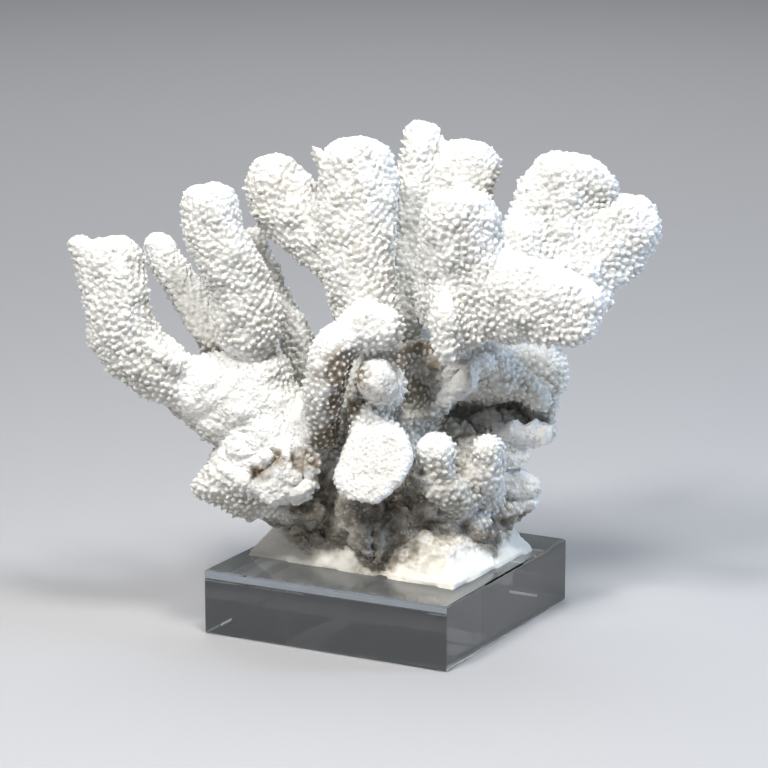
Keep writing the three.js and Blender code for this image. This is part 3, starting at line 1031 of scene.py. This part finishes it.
def acrylic_material():
    """Clear acrylic with a faint smoky tint and fine scratches."""
    n = Nodes("acrylic")
    n.put(ACRYLIC, n.shader.inputs["Base Color"])
    n.put(1.0, n.shader.inputs["Transmission Weight"])
    n.put(ACRYLIC_IOR, n.shader.inputs["IOR"])
    n.put(n.between(n.noise(0.01, 5), 0.35, 0.75, 0.0, 0.035), n.shader.inputs["Roughness"])
    n.put(n.bump(n.noise(0.0015, 4), 0.00001, strength=0.3), n.shader.inputs["Normal"])
    return n.material


coral_skin = coral_material()
plaster_skin = plaster_material()
for name, piece in pieces.items():
    piece.data.materials.append(plaster_skin if name == "plinth" else coral_skin)
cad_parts["block"].data.materials.clear()
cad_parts["block"].data.materials.append(acrylic_material())

# The photograph's view
VIEW_AZIMUTH, VIEW_ELEVATION = 27.861, 13.484  # degrees, 0 looks along +Y
VIEW_DISTANCE = 1.9126
VIEW_TARGET = Vector((0, 0, 0.130))
LENS = 158.86
SHIFT = (-0.00531, 0.01502)
FLOOR_HEIGHT = -0.0004
FLOOR_REACH = 12  # from its middle to each side
CEILING_LAMP_BEHIND = 1.7
CEILING_LAMP_HEIGHT = 2.2
# Lamps: name, how far to the right of the camera and how high in degrees, distance, side, power and colour
LAMPS = [
    ("key", -34, 48, 1.3, 0.22, 12.5, (1.0, 0.98, 0.95)),
    ("top", 12, 64, 1.0, 0.22, 7, (1.0, 0.99, 0.97)),
    ("low_front", -30, 6, 1.6, 0.5, 1.3, (1.0, 0.985, 0.95)),
    ("cool_side", 85, 16, 1.5, 0.4, 12.5, (0.56, 0.74, 1.0)),
]


def seen_from(azimuth, elevation, distance):
    """A point round the middle of the object."""
    a, e = math.radians(azimuth), math.radians(elevation)
    back = Vector((math.sin(a) * math.cos(e), -math.cos(a) * math.cos(e), math.sin(e)))
    return VIEW_TARGET + back * distance


def aimed(thing, place):
    thing.location = place
    thing.rotation_euler = (VIEW_TARGET - place).to_track_quat("-Z", "Y").to_euler()


def camera():
    lens = bpy.data.cameras.new("camera")
    lens.lens = LENS
    lens.shift_x, lens.shift_y = SHIFT
    thing = bpy.data.objects.new("camera", lens)
    bpy.context.scene.collection.objects.link(thing)
    aimed(thing, seen_from(VIEW_AZIMUTH, VIEW_ELEVATION, VIEW_DISTANCE))
    bpy.context.scene.camera = thing


def lamp(name, turn, elevation, distance, size, power, colour):
    """A soft square light. turn is its azimuth to the right of the camera's."""
    light = bpy.data.lights.new(name, "AREA")
    light.size = size
    light.energy = power
    light.color = colour
    thing = bpy.data.objects.new(name, light)
    bpy.context.scene.collection.objects.link(thing)
    aimed(thing, seen_from(VIEW_AZIMUTH + turn, elevation, distance))


def floor():
    """A plain pale floor."""
    r, z = FLOOR_REACH, FLOOR_HEIGHT
    corners = np.array([(-r, -r, z), (r, -r, z), (r, r, z), (-r, r, z)], float)
    ground = mesh_object("floor", corners, np.array([[0, 1, 2, 3]]), np.zeros((0, 3), int))
    n = Nodes("floor")
    n.put(n.mix(n.noise(0.6), *FLOOR_SHADES), n.shader.inputs["Base Color"])
    n.put(0.9, n.shader.inputs["Roughness"])
    ground.data.materials.append(n.material)


def ceiling_lamp():
    """A large soft light over the floor behind the object."""
    light = bpy.data.lights.new("ceiling", "AREA")
    light.size = 2.4
    light.energy = 50
    light.color = (0.96, 0.98, 1.0)
    thing = bpy.data.objects.new("ceiling", light)
    bpy.context.scene.collection.objects.link(thing)
    behind = Vector((-math.sin(CORAL_TURN), math.cos(CORAL_TURN), 0))
    thing.location = behind * CEILING_LAMP_BEHIND + Vector((0, 0, CEILING_LAMP_HEIGHT))


def studio():
    floor()
    ceiling_lamp()
    for settings in LAMPS:
        lamp(*settings)
    world = bpy.data.worlds.new("studio")
    world.use_nodes = True
    world.node_tree.nodes["Background"].inputs["Color"].default_value = (0.60, 0.63, 0.68, 1)
    world.node_tree.nodes["Background"].inputs["Strength"].default_value = 0.10
    bpy.context.scene.world = world
    bpy.context.scene.view_settings.view_transform = "Standard"


camera()
studio()
